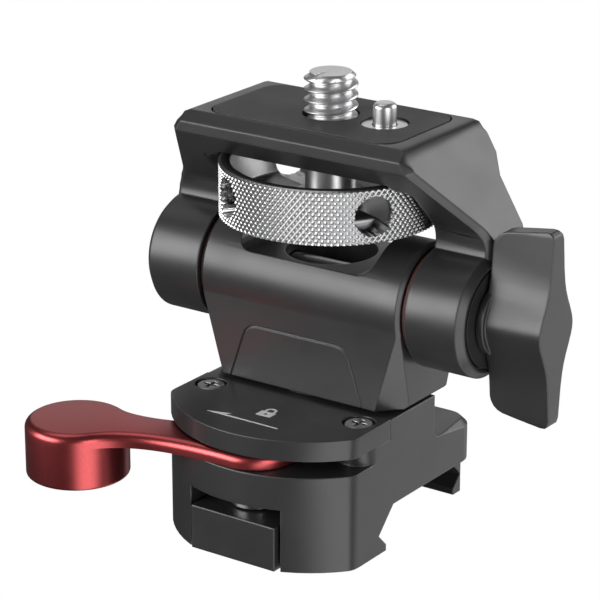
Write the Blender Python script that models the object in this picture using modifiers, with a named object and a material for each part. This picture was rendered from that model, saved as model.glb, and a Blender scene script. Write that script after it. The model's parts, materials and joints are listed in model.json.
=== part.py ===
"""Tilt and swivel monitor mount with a quick-release rail clamp.

From the bottom up: a rail clamp with a sliding jaw worked by a cam lever, a turret that
swivels on it, a yoke that tilts on the turret's barrel and is locked by a wing knob, and on
the yoke a rubber pad, a captive 1/4"-20 screw turned by a thumbwheel, and a sprung pin.

Frame: metres, +Z up, +X along the tilt axis towards the wing knob, -Y to the front (the side
of the lever). The origin is where the swivel axis meets the rail seat.
"""
import math

import bmesh
import bpy
from mathutils import Matrix, Vector

MM = 0.001

# --- driving dimensions -------------------------------------------------------------------
FIT = 0.15 * MM                     # ordinary gap between two neighbouring pieces

# Rail clamp. The rail is the common 21.2 mm accessory rail with 45 degree flanks.
RAIL_Y = 1.25 * MM                  # the rail's centre line, behind the swivel axis
RAIL_V_HALF = 10.6 * MM             # half of the 21.2 mm between the two V bottoms
RAIL_SEAT_HALF = 7.55 * MM
RAIL_V_DEPTH = RAIL_V_HALF - RAIL_SEAT_HALF
LIP_IN = 1.55 * MM                  # how far each lip reaches under the rail
BASE_BOTTOM = -5.4 * MM
BASE_TOP = 10.8 * MM
BASE_HALF_X = 13.15 * MM
BASE_FRONT = -20.95 * MM
BASE_BACK = 12.1 * MM
FRONT_ARC_RADIUS = 16.6 * MM
BACK_CORNER = 3.0 * MM
SHELF_TOP = 5.2 * MM
SHELF_FRONT = 2.4 * MM
STEP_FILLET = 1.2 * MM
SHELF_CHAMFER = 0.8 * MM
REAR_JAW_HALF_X = 11.1 * MM
NOTCH_HALF_X = 6.4 * MM
NOTCH_TOP = 2.3 * MM
NOTCH_BACK = -6.6 * MM

# Lever, its slot and the cover over it.
COVER_BACK = -7.0 * MM
COVER_BOTTOM = 8.4 * MM
COVER_TOP = 10.9 * MM
SLOT_FLOOR = 6.4 * MM
LEVER_TOP = 8.25 * MM
LEVER_BOTTOM = 6.55 * MM
PIVOT_Y = -15.5 * MM
HUB_RADIUS = 5.4 * MM
PADDLE = Vector((-21.2 * MM, -22.2 * MM))
PADDLE_RADIUS = 6.2 * MM
PADDLE_BOTTOM = 1.3 * MM
COVER_SCREW_X = 10.6 * MM
COVER_SCREW_Y = -9.9 * MM
PILLAR_RADIUS = BASE_HALF_X - COVER_SCREW_X
SHAFT_RADIUS = 2.5 * MM
CAM_RADIUS = 3.0 * MM
CAM_OFFSET = 0.6 * MM
CAM_START = math.radians(125)       # direction of the cam's high side when locked
CAM_TOP = 2.1 * MM
CAM_BOTTOM = 0.3 * MM
JAW_HALF_X = 5.9 * MM
JAW_FRONT = -20.2 * MM
JAW_TOP = 0.1 * MM
SPRING_X = 4.2 * MM
SPRING_Z = 1.35 * MM

# Swivel joint and turret.
FOOT_BOTTOM = 11.3 * MM
FOOT_HALF_X = 13.7 * MM
FOOT_HALF_Y = 7.05 * MM
TILT_Z = 23.2 * MM
BARREL_RADIUS = 7.3 * MM
BARREL_HALF = 14.05 * MM
BARREL_CHAMFER = 0.45 * MM
POCKET_HALF_X = 9.5 * MM
POCKET_FLOOR = TILT_Z + 3.85 * MM
ACCESS_RADIUS = 5.5 * MM
BOLT_SEAT = TILT_Z - 7.6 * MM
BOLT_RADIUS = 2.9 * MM

# Yoke.
BOSS_IN_LEFT = -14.5 * MM
BOSS_IN_RIGHT = 14.9 * MM
BOSS_OUT = 22.4 * MM
PLATE_Y = -0.3 * MM                 # middle of the top plate, and the screw's axis
PLATE_HALF_Y = 8.9 * MM
PLATE_TOP = TILT_Z + 20.5 * MM
PLATE_CHAMFER = 1.2 * MM
PLATE_HALF_X = 15.4 * MM
EDGE_CHAMFER = 0.8 * MM
LEG_FLARE = 0.6                     # outward run of the leg for each unit of drop
SLOT_CEILING = TILT_Z + 14.9 * MM
WHEEL_POCKET_TOP = TILT_Z + 15.5 * MM
NECK_Y = -0.85 * MM
NECK_Z = TILT_Z + 8.3 * MM
NECK_RADIUS = 3.25 * MM
PAD_HALF_X = 12.85 * MM
PAD_HALF_Y = 7.25 * MM
PAD_CORNER = 2.5 * MM
PAD_BOTTOM = PLATE_TOP - 0.7 * MM
PAD_TOP = PLATE_TOP + 0.08 * MM

# Screw, wheel and locating pin.
SCREW_RADIUS = 3.15 * MM            # 1/4"-20 thread, 6.35 mm over the crests
SCREW_TOP = TILT_Z + 25.6 * MM
SCREW_HOLE_RADIUS = 3.35 * MM
SHANK_RADIUS = 3.0 * MM
WHEEL_RADIUS = 13.15 * MM
WHEEL_INNER = 11.7 * MM
WHEEL_BOTTOM = TILT_Z + 8.6 * MM
WHEEL_TOP = TILT_Z + 15.1 * MM
WHEEL_HOLE_RADIUS = 2.35 * MM
WHEEL_HOLE_ANGLES = (-33, 57, 147, 237)
PIN_X = 7.3 * MM
PIN_Y = -0.1 * MM
PIN_RADIUS = 1.37 * MM
PIN_TOP = TILT_Z + 23.0 * MM
PIN_FLOOR = TILT_Z + 16.3 * MM
PIN_POCKET_RADIUS = 2.85 * MM

# Tilt axle and wing knob.
AXLE_RADIUS = 2.5 * MM
KNOB_IN = 22.8 * MM
KNOB_OUT = 30.5 * MM
KNOB_LENGTH_HALF = 11.7 * MM
KNOB_HUB_RADIUS = 3.7 * MM
KNOB_WASHER_RADIUS = 5.9 * MM

ROUND = 48                          # sides of an ordinary round piece

for leftover in list(bpy.data.objects):
    bpy.data.objects.remove(leftover)

parts = bpy.data.collections.new("monitor_mount")
cutters = bpy.data.collections.new("cutters")
bpy.context.scene.collection.children.link(parts)
bpy.context.scene.collection.children.link(cutters)


# --- shape helpers ------------------------------------------------------------------------
def add_object(name, mesh):
    obj = bpy.data.objects.new(name, mesh)
    parts.objects.link(obj)
    return obj


def box(name, low, high):
    """Box between two opposite corners."""
    low = Vector(low)
    high = Vector(high)
    bm = bmesh.new()
    bmesh.ops.create_cube(bm, size=1.0)
    bmesh.ops.transform(bm, matrix=Matrix.Diagonal((*(high - low), 1)), verts=bm.verts)
    bmesh.ops.translate(bm, vec=(low + high) / 2, verts=bm.verts)
    mesh = bpy.data.meshes.new(name)
    bm.to_mesh(mesh)
    bm.free()
    return add_object(name, mesh)


def turn_to(axis):
    """Rotation that takes +Z to the named axis."""
    if axis == "X":
        return Matrix.Rotation(math.radians(90), 4, "Y")
    if axis == "Y":
        return Matrix.Rotation(math.radians(-90), 4, "X")
    return Matrix.Identity(4)


def rod(name, radius, start, end, centre=(0, 0), axis="Z", sides=ROUND):
    """Cylinder along an axis between two positions; centre is given in the other two axes."""
    bm = bmesh.new()
    bmesh.ops.create_cone(bm, cap_ends=True, segments=sides, radius1=radius, radius2=radius,
                          depth=end - start)
    bmesh.ops.transform(bm, matrix=turn_to(axis), verts=bm.verts)
    middle = (start + end) / 2
    if axis == "X":
        offset = (middle, centre[0], centre[1])
    elif axis == "Y":
        offset = (centre[0], middle, centre[1])
    else:
        offset = (centre[0], centre[1], middle)
    bmesh.ops.translate(bm, vec=offset, verts=bm.verts)
    mesh = bpy.data.meshes.new(name)
    bm.to_mesh(mesh)
    bm.free()
    mesh.shade_smooth()
    mesh.set_sharp_from_angle(angle=math.radians(35))
    return add_object(name, mesh)


def turned(name, profile, place, steps=ROUND):
    """Solid of revolution. The profile holds (radius, height), top to bottom down the outside."""
    bm = bmesh.new()
    verts = [bm.verts.new((radius, 0, height)) for radius, height in profile]
    for a, b in zip(verts, verts[1:]):
        bm.edges.new((a, b))
    if profile[0][0] > 0:
        bm.edges.new((verts[-1], verts[0]))
    mesh = bpy.data.meshes.new(name)
    bm.to_mesh(mesh)
    bm.free()
    obj = add_object(name, mesh)
    screw = obj.modifiers.new("turn", "SCREW")
    screw.axis = "Z"
    screw.steps = steps
    screw.render_steps = steps
    screw.use_merge_vertices = True
    screw.merge_threshold = 0.00001
    obj.matrix_world = place
    return obj


def baked(obj):
    """The same object with its modifiers and place written into its mesh."""
    bpy.context.view_layer.update()
    depsgraph = bpy.context.evaluated_depsgraph_get()
    mesh = bpy.data.meshes.new_from_object(obj.evaluated_get(depsgraph))
    mesh.transform(obj.matrix_world)
    bm = bmesh.new()
    bm.from_mesh(mesh)
    bmesh.ops.remove_doubles(bm, verts=bm.verts, dist=0.000002)
    bmesh.ops.recalc_face_normals(bm, faces=bm.faces)
    bm.to_mesh(mesh)
    bm.free()
    name = obj.name
    bpy.data.objects.remove(obj)
    mesh.name = name
    return add_object(name, mesh)


def slab(name, outline, low, high, axis):
    """Flat outline given thickness along an axis, from a 2D curve.

    The outline's two values are (Y, Z) for axis X, (X, Z) for axis Y and (X, Y) for axis Z.
    """
    curve = bpy.data.curves.new(name, "CURVE")
    curve.dimensions = "2D"
    curve.fill_mode = "BOTH"
    curve.extrude = (high - low) / 2
    spline = curve.splines.new("POLY")
    spline.points.add(len(outline) - 1)
    for point, (u, v) in zip(spline.points, outline):
        point.co = (u, v, 0, 1)
    spline.use_cyclic_u = True
    obj = add_object(name, curve)
    middle = (low + high) / 2
    if axis == "X":
        obj.matrix_world = Matrix(((0, 0, 1, middle), (1, 0, 0, 0), (0, 1, 0, 0), (0, 0, 0, 1)))
    elif axis == "Y":
        obj.matrix_world = Matrix(((1, 0, 0, 0), (0, 0, -1, middle), (0, 1, 0, 0), (0, 0, 0, 1)))
    else:
        obj.matrix_world = Matrix.Translation((0, 0, middle))
    return baked(obj)


def arc(centre, radius, start, end, steps):
    """Points on an arc, angles in degrees from the first axis towards the second."""
    points = []
    for i in range(steps + 1):
        angle = math.radians(start + (end - start) * i / steps)
        points.append((centre[0] + radius * math.cos(angle), centre[1] + radius * math.sin(angle)))
    return points


def crossing(centre_a, radius_a, centre_b, radius_b):
    """The meeting point of two circles that lies to the right of the line from a to b."""
    dx = centre_b[0] - centre_a[0]
    dy = centre_b[1] - centre_a[1]
    apart = math.hypot(dx, dy)
    along = (radius_a ** 2 - radius_b ** 2 + apart ** 2) / (2 * apart)
    aside = math.sqrt(radius_a ** 2 - along ** 2)
    return (centre_a[0] + (along * dx + aside * dy) / apart,
            centre_a[1] + (along * dy - aside * dx) / apart)


def bend(p0, p1, p2, p3, steps):
    """Points on a cubic curve, without its first and last point."""
    points = []
    for i in range(1, steps):
        t = i / steps
        weights = ((1 - t) ** 3, 3 * t * (1 - t) ** 2, 3 * t * t * (1 - t), t ** 3)
        points.append(tuple(sum(w * p[k] for w, p in zip(weights, (p0, p1, p2, p3))) for k in (0, 1)))
    return points


def round_box(x_low, x_high, y_low, y_high, radius, steps=6):
    """Outline of a rectangle with round corners."""
    return (arc((x_high - radius, y_low + radius), radius, -90, 0, steps)
            + arc((x_high - radius, y_high - radius), radius, 0, 90, steps)
            + arc((x_low + radius, y_high - radius), radius, 90, 180, steps)
            + arc((x_low + radius, y_low + radius), radius, 180, 270, steps))


def boolean(target, tools, operation="DIFFERENCE"):
    for tool in tools:
        parts.objects.unlink(tool)
        cutters.objects.link(tool)
        tool.name = "cutter_" + target.name
        tool.hide_render = True
        tool.display_type = "WIRE"
        modifier = target.modifiers.new(operation.lower(), "BOOLEAN")
        modifier.operation = operation
        modifier.solver = "EXACT"
        modifier.object = tool


def cut(target, *tools):
    boolean(target, tools)


def join(target, *tools):
    boolean(target, tools, "UNION")


def chamfer_ends(obj, width):
    """Chamfer the edges where the outward-facing end faces, towards +X or -X, meet the rest."""
    bm = bmesh.new()
    bm.from_mesh(obj.data)
    bmesh.ops.dissolve_limit(bm, angle_limit=math.radians(0.5), verts=bm.verts, edges=bm.edges)
    reach = max(abs(vert.co.x) for vert in bm.verts)
    ends = set()
    for face in bm.faces:
        centre_x = face.calc_center_median().x
        if face.normal.x * centre_x > 0 and abs(face.normal.x) > 0.6 and abs(centre_x) > 0.75 * reach:
            ends.add(face)
    rim = [edge for edge in bm.edges if sum(face in ends for face in edge.link_faces) == 1
           and not any(abs(face.normal.x) > 0.3 for face in edge.link_faces if face not in ends)]
    bmesh.ops.bevel(bm, geom=rim, offset=width, segments=1, affect="EDGES", clamp_overlap=False)
    bm.to_mesh(obj.data)
    bm.free()


def chamfer_level(obj, height, width):
    """Chamfer the outer rim of the flat that lies at one height."""
    bm = bmesh.new()
    bm.from_mesh(obj.data)
    bmesh.ops.dissolve_limit(bm, angle_limit=math.radians(0.5), verts=bm.verts, edges=bm.edges)
    rim = [edge for edge in bm.edges if all(abs(vert.co.z - height) < 0.01 * MM for vert in edge.verts)
           and any(abs(face.normal.z) < 0.1 for face in edge.link_faces)]
    bmesh.ops.bevel(bm, geom=rim, offset=width, segments=1, affect="EDGES", clamp_overlap=False)
    bm.to_mesh(obj.data)
    bm.free()


def finish(obj, color, roughness, metallic, holder=None):
    """Give a piece its material and hang it on the empty at its joint."""
    material = bpy.data.materials.new(obj.name)
    material.use_nodes = True
    shader = material.node_tree.nodes["Principled BSDF"]
    shader.inputs["Base Color"].default_value = (*color, 1)
    shader.inputs["Roughness"].default_value = roughness
    shader.inputs["Metallic"].default_value = metallic
    obj.data.materials.clear()
    obj.data.materials.append(material)
    if holder:
        obj.parent = holder
        obj.matrix_parent_inverse = holder.matrix_world.inverted()
    return obj


def joint_empty(name, place, parent=None):
    empty = bpy.data.objects.new(name, None)
    empty.empty_display_size = 5 * MM
    empty.location = place
    parts.objects.link(empty)
    bpy.context.view_layer.update()
    if parent:
        empty.parent = parent
        empty.matrix_parent_inverse = parent.matrix_world.inverted()
        bpy.context.view_layer.update()
    return empty


BLACK = ((0.030, 0.030, 0.031), 0.42, 0.85)
RUBBER = ((0.055, 0.055, 0.056), 0.80, 0.0)
RED = ((0.35, 0.025, 0.030), 0.32, 0.9)
STEEL = ((0.62, 0.62, 0.62), 0.28, 1.0)
FIBRE = ((0.10, 0.035, 0.030), 0.60, 0.0)
POLYMER = ((0.020, 0.020, 0.020), 0.50, 0.0)


# --- clamp --------------------------------------------------------------------------------
def base_plan():
    """Plan outline of the clamp: bowed front, straight sides, rounded back corners."""
    centre = (0, BASE_FRONT + FRONT_ARC_RADIUS)
    meet = math.degrees(math.asin(BASE_HALF_X / FRONT_ARC_RADIUS))
    corner_y = centre[1] - FRONT_ARC_RADIUS * math.cos(math.radians(meet))
    bow = arc(centre, FRONT_ARC_RADIUS, -90 - meet + 3, -90 + meet - 3, 20)
    corner = bend(bow[-1], (BASE_HALF_X - 0.25 * MM, corner_y - 0.3 * MM), (BASE_HALF_X, corner_y + 0.1 * MM),
                  (BASE_HALF_X, corner_y + 0.9 * MM), 3) + [(BASE_HALF_X, corner_y + 0.9 * MM)]
    return ([(-x, y) for x, y in reversed(corner)] + bow + corner
            + arc((BASE_HALF_X - BACK_CORNER, BASE_BACK - BACK_CORNER), BACK_CORNER, 0, 90, 6)
            + arc((-BASE_HALF_X + BACK_CORNER, BASE_BACK - BACK_CORNER), BACK_CORNER, 90, 180, 6))


def rail_section():
    """Side view of the rail channel, which opens downwards."""
    low = BASE_BOTTOM - 1 * MM
    lip_half = RAIL_V_HALF - LIP_IN
    lip_top = -RAIL_V_DEPTH - LIP_IN
    front = [(RAIL_Y - lip_half, low), (RAIL_Y - lip_half, lip_top),
             (RAIL_Y - RAIL_V_HALF, -RAIL_V_DEPTH), (RAIL_Y - RAIL_SEAT_HALF, 0)]
    back = [(2 * RAIL_Y - y, z) for y, z in reversed(front)]
    return front + back


def make_clamp_base():
    base = slab("clamp_base", base_plan(), BASE_BOTTOM, BASE_TOP, "Z")
    far = 30 * MM
    step = ([(SHELF_FRONT, BASE_TOP + MM)]
            + arc((SHELF_FRONT + STEP_FILLET, SHELF_TOP + STEP_FILLET), STEP_FILLET, 180, 270, 5)
            + [(far, SHELF_TOP), (far, BASE_TOP + MM)])
    cut(base, slab("step", step, -far, far, "X"))
    base = baked(base)
    chamfer_level(base, SHELF_TOP, SHELF_CHAMFER)
    cut(base, box("seat", (-far, -far, COVER_BOTTOM), (far, COVER_BACK, far)))
    pillar_x = BASE_HALF_X - 2 * PILLAR_RADIUS
    slot = [(-far, -far), (far, -far), (far, COVER_SCREW_Y)]
    slot += arc((COVER_SCREW_X, COVER_SCREW_Y), PILLAR_RADIUS, 360, 180, 18)
    slot += [(pillar_x, COVER_BACK), (-pillar_x, COVER_BACK)]
    slot += arc((-COVER_SCREW_X, COVER_SCREW_Y), PILLAR_RADIUS, 0, -180, 18)
    slot += [(-far, COVER_SCREW_Y)]
    cut(base, slab("lever_slot", slot, SLOT_FLOOR, COVER_BOTTOM + MM, "Z"))
    cut(base, slab("rail", rail_section(), -far, far, "X"))
    for side in (-1, 1):
        near = side * REAR_JAW_HALF_X
        low_x, high_x = sorted((near, side * far))
        cut(base, box("jaw_end", (low_x, RAIL_Y, BASE_BOTTOM - MM), (high_x, far, 0)))
        cut(base, rod("screw_hole", 1.1 * MM, 3 * MM, COVER_BOTTOM + MM,
                      (side * COVER_SCREW_X, COVER_SCREW_Y), sides=20))
        cut(base, rod("spring_hole", 0.85 * MM, NOTCH_BACK - MM, NOTCH_BACK + 2.5 * MM,
                      (side * SPRING_X, SPRING_Z), "Y", 16))
    cut(base, box("notch", (-NOTCH_HALF_X, -far, BASE_BOTTOM - MM),
                  (NOTCH_HALF_X, NOTCH_BACK, NOTCH_TOP)))
    cut(base, rod("shaft_hole", SHAFT_RADIUS + FIT, NOTCH_TOP - MM, SLOT_FLOOR + MM, (0, PIVOT_Y)))
    cut(base, rod("bolt_hole", BOLT_RADIUS + 0.1 * MM, 3.5 * MM, BASE_TOP + MM))
    return finish(base, *BLACK)


def make_cover():
    outline = [(x, y) for x, y in base_plan() if y < COVER_BACK - 2 * MM]
    outline += [(BASE_HALF_X, COVER_BACK - FIT), (-BASE_HALF_X, COVER_BACK - FIT)]
    cover = slab("lock_cover", outline, COVER_BOTTOM + 0.05 * MM, COVER_TOP, "Z")
    for side in (-1, 1):
        place = (side * COVER_SCREW_X, COVER_SCREW_Y)
        cut(cover, rod("head_recess", 1.95 * MM, COVER_TOP - 0.9 * MM, COVER_TOP + MM, place, sides=32))
        cut(cover, rod("screw_hole", 1.2 * MM, COVER_BOTTOM - MM, COVER_TOP, place, sides=24))
    return finish(cover, *BLACK)


def make_cover_screw(name, x):
    head_top = COVER_TOP - 0.1 * MM
    head_bottom = COVER_TOP - 0.85 * MM
    profile = [(0, head_top), (1.55 * MM, head_top), (1.8 * MM, head_top - 0.2 * MM),
               (1.8 * MM, head_bottom), (1.0 * MM, head_bottom), (1.0 * MM, 4 * MM), (0, 4 * MM)]
    screw = baked(turned(name, profile, Matrix.Translation((x, COVER_SCREW_Y, 0)), 24))
    arm = 1.0 * MM
    half = 0.25 * MM
    floor = head_top - 0.5 * MM
    for dx, dy in ((arm, half), (half, arm)):
        cut(screw, box("cross", (x - dx, COVER_SCREW_Y - dy, floor), (x + dx, COVER_SCREW_Y + dy, COVER_TOP + MM)))
    return finish(screw, *STEEL)


def lever_outline():
    """Plan of the lever: a round hub, an arm that narrows, and the round paddle."""
    hub = (0, PIVOT_Y)
    paddle = tuple(PADDLE)
    hub_arc = arc(hub, HUB_RADIUS, 120, -90, 20)
    paddle_arc = arc(paddle, PADDLE_RADIUS, -38, -292, 26)
    front = bend(hub_arc[-1], (-9.5 * MM, hub_arc[-1][1]), (-13.9 * MM, -22.9 * MM), paddle_arc[0], 10)
    back = bend(paddle_arc[-1], (-15.3 * MM, -17.9 * MM), (-8.2 * MM, -15.2 * MM), hub_arc[0], 8)
    return hub_arc + front + paddle_arc + back


def make_lever():
    lever = slab("cam_lever", lever_outline(), LEVER_BOTTOM, LEVER_TOP, "Z")
    edge = 0.45 * MM
    profile = [(0, LEVER_TOP), (PADDLE_RADIUS, LEVER_TOP), (PADDLE_RADIUS, PADDLE_BOTTOM + edge),
               (PADDLE_RADIUS - edge, PADDLE_BOTTOM), (0, PADDLE_BOTTOM)]
    join(lever, baked(turned("paddle", profile, Matrix.Translation((*PADDLE, 0)))))
    cut(lever, rod("shaft_socket", SHAFT_RADIUS - 0.5 * MM, LEVER_BOTTOM - MM, LEVER_TOP + MM,
                   (0, PIVOT_Y), sides=6))
    return finish(lever, *RED, lever_axis)


def make_cam_shaft():
    """Shaft with the lever's hexagon above, a round journal, and the eccentric below."""
    shaft = rod("cam_shaft", SHAFT_RADIUS, CAM_TOP - 0.3 * MM, SLOT_FLOOR + 0.05 * MM, (0, PIVOT_Y))
    join(shaft, rod("hexagon", SHAFT_RADIUS - 0.62 * MM, SLOT_FLOOR - MM, LEVER_TOP, (0, PIVOT_Y), sides=6))
    cam_place = (CAM_OFFSET * math.cos(CAM_START), PIVOT_Y + CAM_OFFSET * math.sin(CAM_START))
    join(shaft, rod("cam", CAM_RADIUS, CAM_BOTTOM, CAM_TOP, cam_place))
    return finish(shaft, *STEEL, lever_axis)


def make_jaw():
    cam_back = PIVOT_Y + CAM_OFFSET * math.sin(CAM_START) + CAM_RADIUS
    wall_front = cam_back + 0.1 * MM
    wall_back = wall_front + 2.0 * MM
    low = BASE_BOTTOM + 0.1 * MM
    lip_half = RAIL_V_HALF - LIP_IN
    lip_top = -RAIL_V_DEPTH - LIP_IN
    v_bottom = RAIL_Y - RAIL_V_HALF
    flank_end = NOTCH_BACK - FIT
    side_view = [(JAW_FRONT, low), (RAIL_Y - lip_half, low), (RAIL_Y - lip_half, lip_top),
                 (v_bottom, -RAIL_V_DEPTH), (flank_end, flank_end - v_bottom - RAIL_V_DEPTH),
                 (flank_end, JAW_TOP), (wall_back, JAW_TOP), (wall_back, NOTCH_TOP - FIT), (wall_front, NOTCH_TOP - FIT),
                 (wall_front, JAW_TOP), (JAW_FRONT, JAW_TOP)]
    jaw = slab("clamp_jaw", side_view, -JAW_HALF_X, JAW_HALF_X, "X")
    for side in (-1, 1):
        cut(jaw, rod("spring_seat", 0.85 * MM, wall_back - 0.8 * MM, wall_back + MM,
                     (side * SPRING_X, SPRING_Z), "Y", 16))
    return finish(jaw, *BLACK, jaw_slide)


def coil(name, radius, wire, start, end, turns, axis, centre, sides_per_turn=10):
    """Compression spring: a poly curve along an axis, with a round wire."""
    curve = bpy.data.curves.new(name, "CURVE")
    curve.dimensions = "3D"
    curve.bevel_depth = wire / 2
    curve.bevel_resolution = 1
    curve.use_fill_caps = True
    count = int(turns * sides_per_turn)
    spline = curve.splines.new("POLY")
    spline.points.add(count)
    for i, point in enumerate(spline.points):
        angle = 2 * math.pi * i / sides_per_turn
        height = start + wire / 2 + (end - start - wire) * i / count
        u = radius * math.cos(angle)
        v = radius * math.sin(angle)
        point.co = (u + centre[0], height, v + centre[1], 1) if axis == "Y" else (
            u + centre[0], v + centre[1], height, 1)
    return baked(add_object(name, curve))


def make_jaw_spring(name, x):
    cam_back = PIVOT_Y + CAM_OFFSET * math.sin(CAM_START) + CAM_RADIUS
    start = cam_back + 1.3 * MM + FIT
    end = NOTCH_BACK + 2.5 * MM - FIT
    spring = coil(name, 0.55 * MM, 0.3 * MM, start, end, 7, "Y", (x, SPRING_Z))
    return finish(spring, *STEEL)


# --- swivel joint and turret --------------------------------------------------------------
def make_swivel_bolt():
    head_bottom = BOLT_SEAT + 1.3 * MM
    head_top = head_bottom + 2.6 * MM
    bolt = rod("swivel_bolt", BOLT_RADIUS, 4.0 * MM, head_bottom + 0.5 * MM)
    join(bolt, rod("head", 4.6 * MM, head_bottom, head_top))
    cut(bolt, rod("hexagon_socket", 2.2 * MM, head_top - 1.6 * MM, head_top + MM, sides=6))
    return finish(bolt, *STEEL)


def ring(name, inner, outer, low, high, axis="Z", centre=(0, 0), sides=ROUND):
    washer = rod(name, outer, low, high, centre, axis, sides)
    cut(washer, rod("bore", inner, low - MM, high + MM, centre, axis, sides))
    return washer


def make_spring_washer(name, low, upward):
    """Cupped spring washer; a pair is stacked back to back under the bolt's head."""
    thick = 0.35 * MM
    rise = 0.2 * MM
    inner_up, outer_up = (rise, 0) if upward else (0, rise)
    inner = BOLT_RADIUS + FIT
    outer = 4.8 * MM
    profile = [(outer, low + outer_up + thick), (outer, low + outer_up), (inner, low + inner_up),
               (inner, low + inner_up + thick)]
    return finish(baked(turned(name, profile, Matrix.Identity(4), 40)), *STEEL, swivel_axis)


def make_turret():
    """Barrel on top, flat front and back below it, corner facets that widen downwards."""
    centre = (0, TILT_Z)
    side_view = arc(centre, BARREL_RADIUS, -15, 195, 40)
    side_view += [(-FOOT_HALF_Y, FOOT_BOTTOM), (FOOT_HALF_Y, FOOT_BOTTOM)]
    turret = slab("swivel_body", side_view, -BARREL_HALF, BARREL_HALF, "X")
    top = TILT_Z + 10 * MM
    wide = 20 * MM
    for side in (-1, 1):
        taper = [(side * FOOT_HALF_X, FOOT_BOTTOM), (side * BARREL_HALF, TILT_Z - 2 * MM),
                 (side * wide, TILT_Z - 2 * MM), (side * wide, 0), (side * FOOT_HALF_X, 0)]
        cut(turret, slab("taper", taper, -10 * MM, 10 * MM, "Y"))
    turret = baked(turret)
    chamfer_ends(turret, BARREL_CHAMFER)
    for side in (-1, 1):
        for end in (-1, 1):
            cut(turret, corner_facet(side, end))
    pocket = round_box(-POCKET_HALF_X, POCKET_HALF_X, POCKET_FLOOR, top, 2.0 * MM)
    cut(turret, slab("pocket", pocket, -10 * MM, 10 * MM, "Y"))
    cut(turret, rod("access", ACCESS_RADIUS, BOLT_SEAT, top))
    cut(turret, rod("bolt_bore", BOLT_RADIUS + FIT, FOOT_BOTTOM - MM, top))
    cut(turret, rod("axle_bore", AXLE_RADIUS + 0.2 * MM, -20 * MM, 20 * MM, centre, "X"))
    return finish(turret, *BLACK, swivel_axis)


def corner_facet(side, end):
    """Sloping cutter that takes a corner off the foot: nothing at the barrel, most at the foot."""
    tool = box("facet", (-10 * MM, 0, -20 * MM), (10 * MM, 6 * MM, 20 * MM))
    foot_corner = Vector((side * FOOT_HALF_X, end * FOOT_HALF_Y, FOOT_BOTTOM))
    foot_on_front = foot_corner - Vector((side * 2.85 * MM, 0, 0))
    foot_on_side = foot_corner - Vector((0, end * 3.15 * MM, 0))
    apex = Vector((side * 14.0 * MM, end * BARREL_RADIUS, TILT_Z - 0.3 * MM))
    normal = (foot_on_side - foot_on_front).cross(apex - foot_on_front).normalized()
    if normal.dot(foot_corner - foot_on_front) < 0:
        normal = -normal
    across = (foot_on_side - foot_on_front).normalized()
    frame = Matrix((across, normal, across.cross(normal))).transposed().to_4x4()
    frame.translation = (foot_on_front + foot_on_side) / 2
    tool.matrix_world = frame
    return baked(tool)


# --- yoke ---------------------------------------------------------------------------------
def yoke_side_view():
    """Side view: chamfered plate, front sloping back to a thin neck, round boss, flat back."""
    front = PLATE_Y - PLATE_HALF_Y
    back = PLATE_Y + PLATE_HALF_Y
    chamfer_z = PLATE_TOP - PLATE_CHAMFER
    neck_centre = (NECK_Y - NECK_RADIUS, NECK_Z)
    kink = crossing((0, TILT_Z), BARREL_RADIUS, neck_centre, NECK_RADIUS)
    neck_end = math.degrees(math.atan2(kink[1] - neck_centre[1], kink[0] - neck_centre[0]))
    boss_start = math.degrees(math.atan2(kink[1] - TILT_Z, kink[0]))
    diagonal = math.sqrt(0.5)
    tangent = (neck_centre[0] + NECK_RADIUS * diagonal, neck_centre[1] + NECK_RADIUS * diagonal)
    slope_top = tangent[1] + (tangent[0] - front)
    points = [(back - PLATE_CHAMFER, PLATE_TOP), (front + PLATE_CHAMFER, PLATE_TOP),
              (front, chamfer_z), (front, slope_top)]
    points += arc(neck_centre, NECK_RADIUS, 45, neck_end, 10)[:-1]
    points += arc((0, TILT_Z), BARREL_RADIUS, boss_start, 360, 46)
    points += [(BARREL_RADIUS, TILT_Z + 14.5 * MM), (back, TILT_Z + 16.8 * MM), (back, chamfer_z)]
    return points


def yoke_front_view():
    """Front view: an arch whose legs flare outwards, with the wheel's slot inside."""
    low = TILT_Z - BARREL_RADIUS - MM
    flare_end = PLATE_TOP - (BOSS_OUT - PLATE_HALF_X) / LEG_FLARE
    corner = 1.0 * MM
    right = [(BOSS_OUT, low), (BOSS_OUT, flare_end - 0.8 * MM),
             (BOSS_OUT - 0.4 * MM, flare_end + 0.6 * MM),
             (PLATE_HALF_X + 0.7 * MM * LEG_FLARE + 0.1 * MM, PLATE_TOP - 0.95 * MM),
             (PLATE_HALF_X - 0.2 * MM, PLATE_TOP - 0.25 * MM), (PLATE_HALF_X - 0.9 * MM, PLATE_TOP)]
    left = [(-x, z) for x, z in reversed(right)]
    slot = [(BOSS_IN_LEFT, low)] + arc((BOSS_IN_LEFT + corner, SLOT_CEILING - corner), corner, 180, 90, 5)
    slot += arc((BOSS_IN_RIGHT - corner, SLOT_CEILING - corner), corner, 90, 0, 5) + [(BOSS_IN_RIGHT, low)]
    return right + left + slot


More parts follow.
